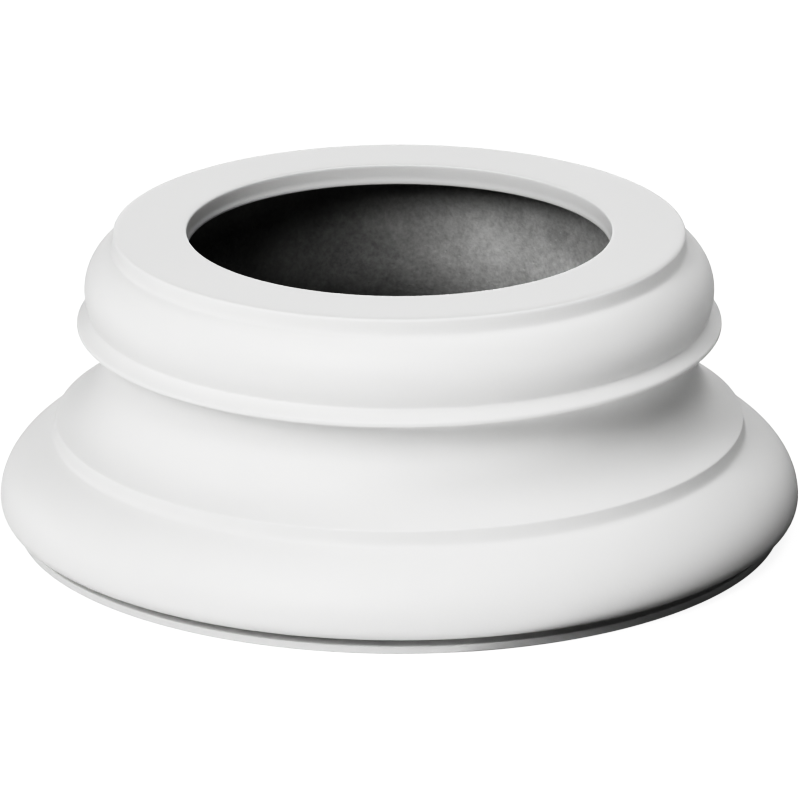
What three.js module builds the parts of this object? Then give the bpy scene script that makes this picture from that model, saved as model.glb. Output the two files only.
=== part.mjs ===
import * as THREE from 'three';

// Round Attic column base, moulded in one piece and hollow, in millimetres with +Z up.
// The origin is the centre of the foot's underside, and the base is a solid of revolution about Z.
// Radii are built outward from the seat that the column shaft stands on, and heights upward from the foot.

// Facets round the base, a multiple of four so that the four sides are equally wide
const sides = 80;

// Seat: the flat ring on top, round the hole for the post inside the column
const seatRadius = 149.4;
const seatWidth = 38.6;
const seatThickness = 11.2;
const seatEdgeRound = 1.6;

// Fascia: the short upright rim under the seat
const fasciaHeight = 9;

// Upper torus, nearly a true circle in section
const upperTorusProjection = 15.1;
const upperTorusRise = 22.5;
const upperTorusTopAngle = 70;
const upperTorusBottomAngle = 29;

// Upper fillet: a sloping ledge with a thin upright edge
const upperFilletProjection = 19.2;
const upperFilletSlopeHeight = 5.6;
const upperFilletEdgeHeight = 2.3;

// Scotia: the deep hollow moulding, a small arc above its throat and a long one below
const scotiaHeight = 50.8;
const throatProjection = 3.8;
const scotiaUpperRadius = 8.6;
const scotiaFlareAngle = 65;

// Band: the nearly upright lower fillet
const bandProjection = 31.1;
const bandFlare = 1;
const bandHeight = 8;

// Lower torus, widest low down, turned tightly under at its foot
const lowerTorusProjection = 60.6;
const lowerTorusRise = 34;
const lowerTorusTopAngle = 55;
const lowerTorusUnderHeight = 7;
const lowerTorusUnderTurn = 5.5;

// Foot ring, set back under the lower torus behind a shadow groove
const grooveHeight = 5;
const grooveDepth = 9;
const footProjection = 51.6;
const footHeight = 4.2;

// Least wall between the mouldings and the hollow inside
const wall = 11;

// Straight segments along each arc of the profile
const torusSegments = 9;
const scotiaSegments = 6;
const tightArcSegments = 3;
const edgeSegments = 2;

// Plastic and its finish
const mouldingColor = 0xe9e9e7;
const mouldingRoughness = 0.55;

const degrees = (angle) => angle * Math.PI / 180;

// Points of an elliptical arc in the plane of radius and height, its ends included.
// Angle 0 points away from the axis and 90 points up.
function arc(centreRadius, centreHeight, reach, rise, fromAngle, toAngle, segments) {
  const points = [];
  for (let step = 0; step <= segments; step += 1) {
    const angle = degrees(fromAngle + (toAngle - fromAngle) * step / segments);
    const radius = centreRadius + reach * Math.cos(angle);
    const height = centreHeight + rise * Math.sin(angle);
    points.push(new THREE.Vector2(radius, height));
  }
  return points;
}

// Heights of each moulding's lower edge, from the foot up
const grooveBottom = footHeight;
const lowerTorusBottom = grooveBottom + grooveHeight;
const lowerTorusWidest = lowerTorusBottom + lowerTorusUnderHeight;
const bandBottom = lowerTorusWidest + lowerTorusRise;
const scotiaBottom = bandBottom + bandHeight;
const upperFilletBottom = scotiaBottom + scotiaHeight;
const upperFilletSlopeBottom = upperFilletBottom + upperFilletEdgeHeight;
const upperTorusBottom = upperFilletSlopeBottom + upperFilletSlopeHeight;

// Upper torus: its section is fixed by its projection and rise above the widest point
const upperTorusReach = upperTorusProjection / (1 - Math.cos(degrees(upperTorusTopAngle)));
const upperTorusHalfHeight = upperTorusRise / Math.sin(degrees(upperTorusTopAngle));
const upperTorusFall = upperTorusHalfHeight * Math.sin(degrees(upperTorusBottomAngle));
const upperTorusWidest = upperTorusBottom + upperTorusFall;
const fasciaBottom = upperTorusWidest + upperTorusRise;
const overallHeight = fasciaBottom + fasciaHeight;

// Radii that several mouldings share
const holeRadius = seatRadius - seatWidth;
const throatRadius = seatRadius + throatProjection;
const bandTopRadius = seatRadius + bandProjection;
const bandBottomRadius = bandTopRadius + bandFlare;
const lowerTorusRadius = seatRadius + lowerTorusProjection;
const footRadius = seatRadius + footProjection;
const grooveRadius = footRadius - grooveDepth;
const upperFilletRadius = seatRadius + upperFilletProjection;

// Lower arc of the scotia, from its throat out to the top of the band
const scotiaLowerHeight = scotiaHeight - scotiaUpperRadius;
const scotiaReach = (bandTopRadius - throatRadius) / (1 - Math.cos(degrees(scotiaFlareAngle)));
const scotiaFall = scotiaLowerHeight / Math.sin(degrees(scotiaFlareAngle));
const throatHeight = scotiaBottom + scotiaLowerHeight;
const scotiaCentreRadius = throatRadius + scotiaReach;

function seatEdge() {
  const roundRadius = Math.min(seatEdgeRound, fasciaHeight / 2);
  const centreRadius = seatRadius - roundRadius;
  const centreHeight = overallHeight - roundRadius;
  return arc(centreRadius, centreHeight, roundRadius, roundRadius, 90, 0, edgeSegments);
}

function upperTorus() {
  const centreRadius = seatRadius + upperTorusProjection - upperTorusReach;
  return arc(
    centreRadius, upperTorusWidest, upperTorusReach, upperTorusHalfHeight,
    upperTorusTopAngle, -upperTorusBottomAngle, torusSegments,
  );
}

function upperFilletEdge() {
  return [
    new THREE.Vector2(upperFilletRadius, upperFilletSlopeBottom),
    new THREE.Vector2(upperFilletRadius, upperFilletBottom),
  ];
}

function scotia() {
  const upperArc = arc(
    throatRadius + scotiaUpperRadius, throatHeight, scotiaUpperRadius, scotiaUpperRadius,
    90, 180, tightArcSegments,
  );
  const lowerArc = arc(
    scotiaCentreRadius, throatHeight, scotiaReach, scotiaFall,
    180, 180 + scotiaFlareAngle, scotiaSegments,
  );
  return [...upperArc, ...lowerArc.slice(1)];
}

function lowerTorus() {
  const upperReach = (lowerTorusRadius - bandBottomRadius) / (1 - Math.cos(degrees(lowerTorusTopAngle)));
  const upperHalfHeight = lowerTorusRise / Math.sin(degrees(lowerTorusTopAngle));
  const upperArc = arc(
    lowerTorusRadius - upperReach, lowerTorusWidest, upperReach, upperHalfHeight,
    lowerTorusTopAngle, 0, torusSegments,
  );
  const underArc = arc(
    lowerTorusRadius - lowerTorusUnderTurn, lowerTorusWidest, lowerTorusUnderTurn, lowerTorusUnderHeight,
    0, -90, tightArcSegments,
  );
  return [...upperArc, ...underArc.slice(1)];
}

function grooveAndFoot() {
  return [
    new THREE.Vector2(grooveRadius, lowerTorusBottom),
    new THREE.Vector2(grooveRadius, grooveBottom),
    new THREE.Vector2(footRadius, grooveBottom),
    new THREE.Vector2(footRadius, 0),
  ];
}

// The hollow runs from the open underside up to the seat, which closes over it as a lip round the hole.
// Behind the scotia it keeps the scotia's own curve, one wall further in.
function hollow() {
  const flare = arc(
    scotiaCentreRadius, throatHeight, scotiaReach + wall, scotiaFall + wall,
    180 + scotiaFlareAngle, 180, scotiaSegments,
  );
  const seatUnderside = overallHeight - seatThickness;
  return [
    new THREE.Vector2(grooveRadius - wall, 0),
    ...flare,
    new THREE.Vector2(seatRadius - wall, seatUnderside),
    new THREE.Vector2(holeRadius, seatUnderside),
    new THREE.Vector2(holeRadius, overallHeight),
  ];
}

function columnBase() {
  const profile = [
    ...seatEdge(),
    ...upperTorus(),
    ...upperFilletEdge(),
    ...scotia(),
    ...lowerTorus(),
    ...grooveAndFoot(),
    ...hollow(),
  ];
  profile.push(profile[0].clone());
  profile.reverse();
  const geometry = new THREE.LatheGeometry(profile, sides);
  geometry.rotateX(Math.PI / 2);
  const material = new THREE.MeshStandardMaterial({
    color: mouldingColor,
    roughness: mouldingRoughness,
    metalness: 0,
  });
  const mesh = new THREE.Mesh(geometry, material);
  mesh.name = 'column_base';
  return mesh;
}

const model = new THREE.Group();
model.add(columnBase());

export default model;
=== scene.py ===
import math

import bpy
import numpy as np
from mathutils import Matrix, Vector, noise


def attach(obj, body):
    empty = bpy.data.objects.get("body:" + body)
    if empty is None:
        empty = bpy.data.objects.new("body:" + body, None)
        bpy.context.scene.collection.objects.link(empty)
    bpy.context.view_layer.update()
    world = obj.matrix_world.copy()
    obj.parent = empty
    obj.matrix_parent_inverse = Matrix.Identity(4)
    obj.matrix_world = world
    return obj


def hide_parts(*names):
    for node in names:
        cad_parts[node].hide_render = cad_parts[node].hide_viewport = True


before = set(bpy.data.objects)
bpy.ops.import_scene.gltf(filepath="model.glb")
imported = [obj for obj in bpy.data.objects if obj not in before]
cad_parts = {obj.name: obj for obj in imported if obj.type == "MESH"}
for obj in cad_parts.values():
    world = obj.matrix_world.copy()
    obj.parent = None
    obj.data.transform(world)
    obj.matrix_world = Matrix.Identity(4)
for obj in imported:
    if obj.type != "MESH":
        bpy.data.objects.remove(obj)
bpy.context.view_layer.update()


# Moulded ring
# The whole base is one hollow casting of dense polyurethane foam, made in a closed mould, with a hard skin.
# Its mouldings are lightly sanded and primed matt white, so every arris is a little soft. It goes over the
# post, glued to the slab by its foot, and the shaft stands on its flat top. Sizes are in metres.

seat_radius = 0.1494
hole_radius = 0.1108
lip_bead = {"projection": 0.0004, "height": 0.002, "slope_height": 0.0014}
seat_thickness = 0.0112
fascia_height = 0.009
upper_torus = {"projection": 0.0151, "rise": 0.0225, "top_angle": 70, "bottom_angle": 29}
upper_fillet = {"projection": 0.0192, "slope_height": 0.0056, "edge_height": 0.0023}
scotia = {"height": 0.0508, "throat": 0.0038, "upper_radius": 0.0086, "flare_angle": 65}
band = {"projection": 0.0311, "flare": 0.001, "height": 0.008}
lower_torus = {
    "projection": 0.0606,
    "rise": 0.034,
    "top_angle": 55,
    "under_height": 0.007,
    "under_turn": 0.0055,
}
groove = {"height": 0.005, "depth": 0.009}
foot = {"projection": 0.0516, "height": 0.0042}
wall = 0.011


def arc(centre, reach, start, end, steps=48):
    """Points (radius, height) of an elliptical arc; angle 0 points away from the axis and 90 points up."""
    angles = np.radians(np.linspace(start, end, steps + 1))
    return np.column_stack((centre[0] + reach[0] * np.cos(angles), centre[1] + reach[1] * np.sin(angles)))


def arc_size(depth, rise, angle):
    """Half axes of an arc that falls away by depth over a rise, at an angle from its widest point."""
    return depth / (1 - math.cos(math.radians(angle))), rise / math.sin(math.radians(angle))


# Heights of the mouldings, from the foot up.
torus_bottom = foot["height"] + groove["height"]
torus_widest = torus_bottom + lower_torus["under_height"]
band_bottom = torus_widest + lower_torus["rise"]
scotia_bottom = band_bottom + band["height"]
fillet_bottom = scotia_bottom + scotia["height"]
fillet_top = fillet_bottom + upper_fillet["edge_height"]
collar_bottom = fillet_top + upper_fillet["slope_height"]
upper_size = arc_size(upper_torus["projection"], upper_torus["rise"], upper_torus["top_angle"])
collar_widest = collar_bottom + upper_size[1] * math.sin(math.radians(upper_torus["bottom_angle"]))
fascia_bottom = collar_widest + upper_torus["rise"]
top = fascia_bottom + fascia_height
seat_underside = top - seat_thickness

# Radii of the mouldings, from the seat out.
throat_radius = seat_radius + scotia["throat"]
band_top_radius = seat_radius + band["projection"]
band_bottom_radius = band_top_radius + band["flare"]
torus_radius = seat_radius + lower_torus["projection"]
foot_radius = seat_radius + foot["projection"]
groove_radius = foot_radius - groove["depth"]
fillet_radius = seat_radius + upper_fillet["projection"]
throat_height = fillet_bottom - scotia["upper_radius"]
scotia_reach = band_top_radius - throat_radius
scotia_size = arc_size(scotia_reach, throat_height - scotia_bottom, scotia["flare_angle"])
scotia_centre = (throat_radius + scotia_size[0], throat_height)
scotia_turn = (180, 180 + scotia["flare_angle"])
lower_size = arc_size(torus_radius - band_bottom_radius, lower_torus["rise"], lower_torus["top_angle"])

# The curved stretches of the section.
collar_centre = (seat_radius + upper_torus["projection"] - upper_size[0], collar_widest)
collar = arc(collar_centre, upper_size, upper_torus["top_angle"], -upper_torus["bottom_angle"])
throat_centre = (throat_radius + scotia["upper_radius"], throat_height)
throat = arc(throat_centre, (scotia["upper_radius"], scotia["upper_radius"]), 90, 180)
belly = arc((torus_radius - lower_size[0], torus_widest), lower_size, lower_torus["top_angle"], 0)
turn_centre = (torus_radius - lower_torus["under_turn"], torus_widest)
turned_under = arc(turn_centre, (lower_torus["under_turn"], lower_torus["under_height"]), 0, -90)
cast_size = (scotia_size[0] + wall, scotia_size[1] + wall)

# The section, clockwise from the hole's lower edge, as stretches that each end in an edge of a given
# softness.
bead_radius = hole_radius - lip_bead["projection"]
bead_top = seat_underside + lip_bead["height"]
section = [
    ([(bead_radius, seat_underside)], 0.0006),
    ([(bead_radius, bead_top)], 0.0003),
    ([(hole_radius, bead_top + lip_bead["slope_height"])], 0.0004),
    ([(hole_radius, top)], 0.0008),
    ([(seat_radius, top)], 0.0013),
    (collar[:1], 0.0016),
    (collar[1:], 0.0009),
    ([(fillet_radius, fillet_top)], 0.0007),
    ([(fillet_radius, fillet_bottom)], 0.0006),
    (throat, 0.0004),
    (arc(scotia_centre, scotia_size, *scotia_turn)[1:], 0.0005),
    ([(band_bottom_radius, band_bottom)], 0.0016),
    (belly[1:], 0.0004),
    (turned_under[1:], 0.0005),
    ([(groove_radius, torus_bottom)], 0.0005),
    ([(groove_radius, foot["height"])], 0.0005),
    ([(foot_radius, foot["height"])], 0.0005),
    ([(foot_radius, 0)], 0.0004),
    ([(groove_radius - wall, 0)], 0.0008),
    (arc(scotia_centre, cast_size, *reversed(scotia_turn)), 0.002),
    ([(seat_radius - wall, seat_underside)], 0.002),
]


def softened(stretches, step=0.0002, passes=320):
    """The closed section as fine points, with each edge rounded over about its own softness."""
    corners = np.concatenate([np.atleast_2d(points) for points, _ in stretches])
    ends = np.cumsum([len(points) for points, _ in stretches]) - 1
    closed = np.vstack((corners, corners[:1]))
    reach = np.concatenate(([0], np.cumsum(np.hypot(*np.diff(closed, axis=0).T))))
    places = np.linspace(0, reach[-1], round(reach[-1] / step), endpoint=False)
    line = np.column_stack([np.interp(places, reach, closed[:, axis]) for axis in (0, 1)])
    gaps = np.abs(places[:, None] - reach[ends][None, :])
    nearest = np.minimum(gaps, reach[-1] - gaps).argmin(axis=1)
    softness = np.array([soft for _, soft in stretches])[nearest]
    weight = np.minimum((softness / step) ** 2 / passes, 0.5)[:, None]
    for _ in range(passes):
        line = line + weight * (np.roll(line, 1, axis=0) + np.roll(line, -1, axis=0) - 2 * line) / 2
    return line


def spaced(line, turn=0.2, sagitta=0.00003, longest=0.004, growth=0.8, half_window=2):
    """Fewer points along a closed line: close together where it bends, and gradually wider on the flats."""
    straightest = 1e-6
    legs = np.roll(line, -1, axis=0) - line
    lengths = np.hypot(*legs.T)
    headings = np.arctan2(legs[:, 1], legs[:, 0])
    turns = np.abs((headings - np.roll(headings, 1) + math.pi) % (2 * math.pi) - math.pi)
    bend = np.maximum(turns / lengths, straightest)
    window = np.full(2 * half_window + 1, 1 / (2 * half_window + 1))
    bend = np.convolve(np.concatenate((bend[-half_window:], bend, bend[:half_window])), window, "valid")
    wanted = np.minimum(np.minimum(turn / bend, np.sqrt(8 * sagitta / bend)), longest)
    places = np.concatenate(([0], np.cumsum(lengths)))
    gaps = np.abs(places[:-1, None] - places[None, :-1])
    gaps = np.minimum(gaps, places[-1] - gaps)
    size = (wanted[None, :] + growth * gaps).min(axis=1)
    count = np.concatenate(([0], np.cumsum(lengths / size)))
    stations = np.interp(np.linspace(0, count[-1], round(count[-1]), endpoint=False), count, places)
    closed = np.vstack((line, line[:1]))
    return np.column_stack([np.interp(stations, places, closed[:, axis]) for axis in (0, 1)])


def turned(name, line, sides):
    """A solid of revolution about Z from a closed line of (radius, height) points that runs clockwise."""
    angles = np.arange(sides) * 2 * math.pi / sides
    around = np.stack((np.cos(angles), np.sin(angles)), axis=1)
    flat = line[None, :, :1] * around[:, None, :]
    heights = np.broadcast_to(line[None, :, 1:], (sides, len(line), 1))
    points = np.concatenate((flat, heights), axis=2).reshape(-1, 3)
    here = np.arange(sides)[:, None] * len(line)
    there = (np.arange(sides)[:, None] + 1) % sides * len(line)
    low = np.arange(len(line))[None, :]
    high = (low + 1) % len(line)
    faces = np.stack((here + low, here + high, there + high, there + low), axis=2).reshape(-1, 4)
    mesh = bpy.data.meshes.new(name)
    mesh.from_pydata(points.tolist(), [], faces.tolist())
    mesh.shade_smooth()
    return bpy.data.objects.new(name, mesh)


ring_sides = 240
section_line = spaced(softened(section))
ring = turned("column_base_moulding", section_line, ring_sides)
bpy.context.scene.collection.objects.link(ring)

# The cast back is left as it left the mould, so behind the mouldings it is slightly lumpy.
lump_height = 0.0006
lump_pitch = 0.028
small_lumps = {"share": 0.4, "to_a_large_one": 2.7}
edge_margin = 0.012


def lumpy(point):
    """A point of the cast back, moved in or out by low lumps that die away at its edges."""
    radius = math.hypot(point.x, point.y)
    depth = min(point.z, seat_underside - point.z) / edge_margin
    if depth <= 0 or radius > groove_radius - wall / 2 or radius > outer_skin(point.z):
        return point
    large = noise.noise(point / lump_pitch)
    small = noise.noise(point / lump_pitch * small_lumps["to_a_large_one"])
    lift = large + small_lumps["share"] * small
    grown = 1 + lump_height * min(depth, 1) * lift / radius
    return Vector((point.x * grown, point.y * grown, point.z))


def outer_skin(height):
    """The radius halfway through the wall at a height, which parts the cast back from the mouldings."""
    return np.interp(height, *skin_middle)


middle_size = (scotia_size[0] + wall / 2, scotia_size[1] + wall / 2)
back = arc(scotia_centre, middle_size, *reversed(scotia_turn))
skin_middle = (
    np.concatenate(([0], back[:, 1], [seat_underside])),
    np.concatenate(([groove_radius - wall / 2], back[:, 0], [seat_radius - wall / 2])),
)
for vertex in ring.data.vertices:
    vertex.co = lumpy(vertex.co)


class Shade:
    """A value in a material, one socket of a node, whose sums are written as Python expressions."""

    def __init__(self, tree, socket=None):
        self.tree = tree
        self.socket = socket

    def node(self, kind, settings, values, output=0):
        """Add a node: its settings first, then the values or links of its sockets."""
        made = self.tree.nodes.new(kind)
        for name, value in settings.items():
            setattr(made, name, value)
        for name, value in values.items():
            if isinstance(value, Shade):
                self.tree.links.new(value.socket, made.inputs[name])
            else:
                made.inputs[name].default_value = value
        return Shade(self.tree, made.outputs[output] if made.outputs else None)

    def maths(self, operation, first, second):
        return self.node("ShaderNodeMath", {"operation": operation}, {0: first, 1: second})

    def __add__(self, other):
        return self.maths("ADD", self, other)

    def __sub__(self, other):
        return self.maths("SUBTRACT", self, other)

    def __rsub__(self, other):
        return self.maths("SUBTRACT", other, self)

    def __mul__(self, other):
        return self.maths("MULTIPLY", self, other)

    __radd__ = __add__
    __rmul__ = __mul__


def new_shade(owner):
    """A bare node tree for a material or the surroundings, to hang nodes on."""
    owner.use_nodes = True
    owner.node_tree.nodes.clear()
    return Shade(owner.node_tree)


def grain(shade, place, scale, detail=2.0, roughness=0.5):
    """Noise from 0 to 1 with about scale lumps to the metre."""
    values = {"Vector": place, "Scale": scale, "Detail": detail, "Roughness": roughness}
    return shade.node("ShaderNodeTexNoise", {}, values)


def between(shade, factor, first, second):
    """A colour between two others. Sockets 6 and 7 of a Mix node are its two colours."""
    settings = {"data_type": "RGBA"}
    return shade.node("ShaderNodeMix", settings, {"Factor": factor, 6: first, 7: second}, output=2)


def mapped(shade, value, low, high, blend="LINEAR", rising=True):
    """A value that runs from 0 to 1, or from 1 to 0, while another goes from low to high."""
    ends = {3: 0.0, 4: 1.0} if rising else {3: 1.0, 4: 0.0}
    values = {"Value": value, 1: low, 2: high, **ends}
    return shade.node("ShaderNodeMapRange", {"interpolation_type": blend}, values)


def finish(shade, values):
    """Close a material with a Principled surface of these values."""
    surface = shade.node("ShaderNodeBsdfPrincipled", {}, values)
    shade.node("ShaderNodeOutputMaterial", {}, {"Surface": surface})


# Primer: matt white, sprayed over a sanded skin, with a faint orange peel and a fine dry grain.
primer = bpy.data.materials.new("matt_white_primer")
shade = new_shade(primer)
place = shade.node("ShaderNodeTexCoord", {}, {}, output="Object")
clouds = grain(shade, place, 14, 3)
speck = grain(shade, place, 900, 2)
peel = grain(shade, place, 240, 2)
coat = clouds * 0.7 + speck * 0.3
relief = peel * 0.00004 + speck * 0.00002
thin_coat = (0.79, 0.79, 0.785, 1)
full_coat = (0.83, 0.83, 0.827, 1)
finish(shade, {
    "Base Color": between(shade, coat, thin_coat, full_coat),
    "Roughness": 0.46 + clouds * 0.12 + speck * 0.06,
    "Specular IOR Level": 0.4,
    "Normal": shade.node("ShaderNodeBump", {}, {"Strength": 1.0, "Distance": 1.0, "Height": relief}),
})

# Cast back: bare foam skin, dull grey with pale and dark blotches, fine pits and a rough grain. Higher up
# and towards its back and right it is painted paler, a painted pool of the light that falls in through the
# hole.
cast_back = bpy.data.materials.new("bare_cast_back")
shade = new_shade(cast_back)
place = shade.node("ShaderNodeTexCoord", {}, {}, output="Object")
blotch = grain(shade, place, 40, 3)
mottle = grain(shade, place, 300, 3, 0.6)
rough = grain(shade, place, 620, 3, 0.6)
pits = shade.node("ShaderNodeTexVoronoi", {}, {"Vector": place, "Scale": 190, "Randomness": 1.0})
pit = mapped(shade, pits, 0.0, 0.16, rising=False)
patchy = mapped(shade, blotch * 0.4 + mottle * 0.35 + rough * 0.25, 0.36, 0.64)
relief = blotch * 0.0006 + mottle * 0.0002 + rough * 0.00015 - pit * 0.0002
# Painted light: paler towards the back, the right and the top, where light falls in through the hole.
light_pool_along = {0: place, 1: (0.87, 0.5, 0.45)}
light_pool_reach = shade.node("ShaderNodeVectorMath", {"operation": "DOT_PRODUCT"}, light_pool_along, output=1)
painted_light_mask = mapped(shade, light_pool_reach, 0.09, 0.17, blend="SMOOTHSTEP")
bare = between(shade, patchy, (0.21, 0.21, 0.208, 1), (0.37, 0.37, 0.365, 1))
painted_lit_tone = between(shade, patchy, (0.59, 0.59, 0.585, 1), (0.86, 0.86, 0.853, 1))
finish(shade, {
    "Base Color": between(shade, painted_light_mask, bare, painted_lit_tone),
    "Roughness": 0.72 + rough * 0.2,
    "Specular IOR Level": 0.25,
    "Normal": shade.node("ShaderNodeBump", {}, {"Strength": 1.0, "Distance": 1.0, "Height": relief}),
})

ring.data.materials.append(primer)
ring.data.materials.append(cast_back)

# The cast back starts behind the lip's rounded lower edge, and takes in the foot's flat underside.
lip_edge = {"height": 0.0004, "depth": 0.0002}
underside_top = 0.0001
for face in ring.data.polygons:
    radius = math.hypot(face.center.x, face.center.y)
    inside = radius < outer_skin(face.center.z) and radius > hole_radius + lip_edge["depth"]
    behind = inside and face.center.z < seat_underside + lip_edge["height"]
    face.material_index = 1 if behind or face.center.z < underside_top else 0

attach(ring, "root")
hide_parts("column_base")


# Floor
# A white studio floor, wide enough to fill every view, lit so brightly that it shows as plain white.
# The ring stands on it by its own weight. Under the ring and on its shaded side, to the right and the back,
# a painted shadow keeps it from throwing back light, and inside the ring it is painted a shaded grey.

floor_half = 14.0
floor_height = -0.00005
shade_centre = (0.07, 0.05, 0)
shade_radius = 0.252
black = (0.0, 0.0, 0.0, 1)
white = (1.0, 1.0, 1.0, 1)
floor_mesh = bpy.data.meshes.new("floor")
corners = ((-1, -1), (1, -1), (1, 1), (-1, 1))
floor_points = [(x * floor_half, y * floor_half, floor_height) for x, y in corners]
floor_mesh.from_pydata(floor_points, [], [(0, 1, 2, 3)])
floor = bpy.data.objects.new("floor", floor_mesh)
bpy.context.scene.collection.objects.link(floor)
floor_paint = bpy.data.materials.new("white_floor")
shade = new_shade(floor_paint)
place = shade.node("ShaderNodeTexCoord", {}, {}, output="Object")
dust = grain(shade, place, 3, 3)


def within(shade, place, centre, radius):
    """1 inside a ball and 0 outside it."""
    away = shade.node("ShaderNodeVectorMath", {"operation": "DISTANCE"}, {0: place, 1: centre}, output=1)
    return shade.maths("LESS_THAN", away, radius)


covered = within(shade, place, (0, 0, 0), groove_radius)
# Painted shadow: to the light it throws back, the floor is black in a ball on the ring's shaded side.
painted_shadow_bounce = between(shade, within(shade, place, shade_centre, shade_radius), (0.82, 0.82, 0.82, 1), black)
# Painted shade: inside the ring the floor is painted grey and does not glow.
paint = between(shade, covered, (0.93, 0.93, 0.93, 1), (0.5, 0.5, 0.5, 1))
lit = between(shade, covered, white, black)
seen = shade.node("ShaderNodeLightPath", {}, {}, output="Is Camera Ray")
finish(shade, {
    "Base Color": between(shade, seen, painted_shadow_bounce, paint),
    "Roughness": 0.85 + dust * 0.1,
    "Specular IOR Level": 0.0,
    "Emission Color": between(shade, seen, black, lit),
    "Emission Strength": 0.7,
})
floor_mesh.materials.append(floor_paint)


# Studio light
# Soft boxes stand round the ring at three metres, the strongest in front and to the left, above the camera.
# Low wide ones at the sides and behind light the upright faces. None of them is in the camera's sight.

soft_boxes = [
    # name, degrees right of the camera, degrees up, width, height, watts
    ("key", -30, 31, 1.0, 1.0, 27.5),
    ("key_high", -30, 50, 1.0, 1.0, 10.0),
    ("front", 0, 50, 1.0, 1.0, 12.2),
    ("top_left", -45, 72, 1.0, 1.0, 5.4),
    ("top_back", 135, 72, 1.0, 1.0, 9.5),
    ("right", 90, 65, 1.0, 1.0, 11.0),
    ("low_left", -90, 6, 1.2, 0.4, 8.9),
    ("low_left_back", -120, 6, 1.2, 0.4, 8.7),
    ("low_right", 45, 6, 1.2, 0.4, 5.5),
    ("low_right_back", 150, 6, 1.2, 0.4, 4.5),
    ("low_back", 180, 6, 1.2, 0.4, 18.0),
]
box_distance = 3.0
target = Vector((0, 0, 0.08))
for name, side, up, width, height, watts in soft_boxes:
    light = bpy.data.lights.new(name, "AREA")
    light.shape = "RECTANGLE"
    light.size = width
    light.size_y = height
    light.energy = watts
    box = bpy.data.objects.new(name, light)
    turn, rise = math.radians(side), math.radians(up)
    away = Vector((math.sin(turn) * math.cos(rise), -math.cos(turn) * math.cos(rise), math.sin(rise)))
    box.location = target + away * box_distance
    box.rotation_euler = away.to_track_quat("Z", "Y").to_euler()
    box.visible_camera = False
    bpy.context.scene.collection.objects.link(box)

world = bpy.data.worlds.new("studio")
bpy.context.scene.world = world
shade = new_shade(world)
seen = shade.node("ShaderNodeLightPath", {}, {}, output="Is Camera Ray")
backdrop = shade.node("ShaderNodeBackground", {}, {"Color": between(shade, seen, black, white)})
shade.node("ShaderNodeOutputWorld", {}, {"Surface": backdrop})


# Camera
# A long lens stands nearly four metres in front of the ring and above it, and looks down across the seat.
# It is tilted down alone, neither turned nor rolled, so that the axis of the ring stays upright.

sensor_width = 36
focal_length = 337.5
camera_place = (0.00037, -3.7172, 1.3602)
looks_down = 0.3352
camera_data = bpy.data.cameras.new("camera")
camera_data.sensor_width = sensor_width
camera_data.lens = focal_length
camera = bpy.data.objects.new("camera", camera_data)
camera.location = camera_place
camera.rotation_euler = (math.pi / 2 - looks_down, 0, 0)
bpy.context.scene.collection.objects.link(camera)
bpy.context.scene.camera = camera

# The picture is printed with strong contrast: darks go darker and lights lighter about a middle grey.
print_middle = 0.5
print_contrast = 1.8
print_steps = 24
print_look = bpy.context.scene.view_settings
print_look.view_transform = "Standard"
print_look.use_curve_mapping = True
tones = print_look.curve_mapping.curves[3].points


def printed(tone):
    """A screen tone from 0 to 1 after the contrast."""
    if tone < print_middle:
        return print_middle * (tone / print_middle) ** print_contrast
    return 1 - (1 - print_middle) * ((1 - tone) / (1 - print_middle)) ** print_contrast


def light_of(tone):
    """The light that shows as a screen tone from 0 to 1."""
    return tone / 12.92 if tone < 0.04045 else ((tone + 0.055) / 1.055) ** 2.4


for step in range(1, print_steps):
    tones.new(light_of(step / print_steps), light_of(printed(step / print_steps)))
print_look.curve_mapping.update()
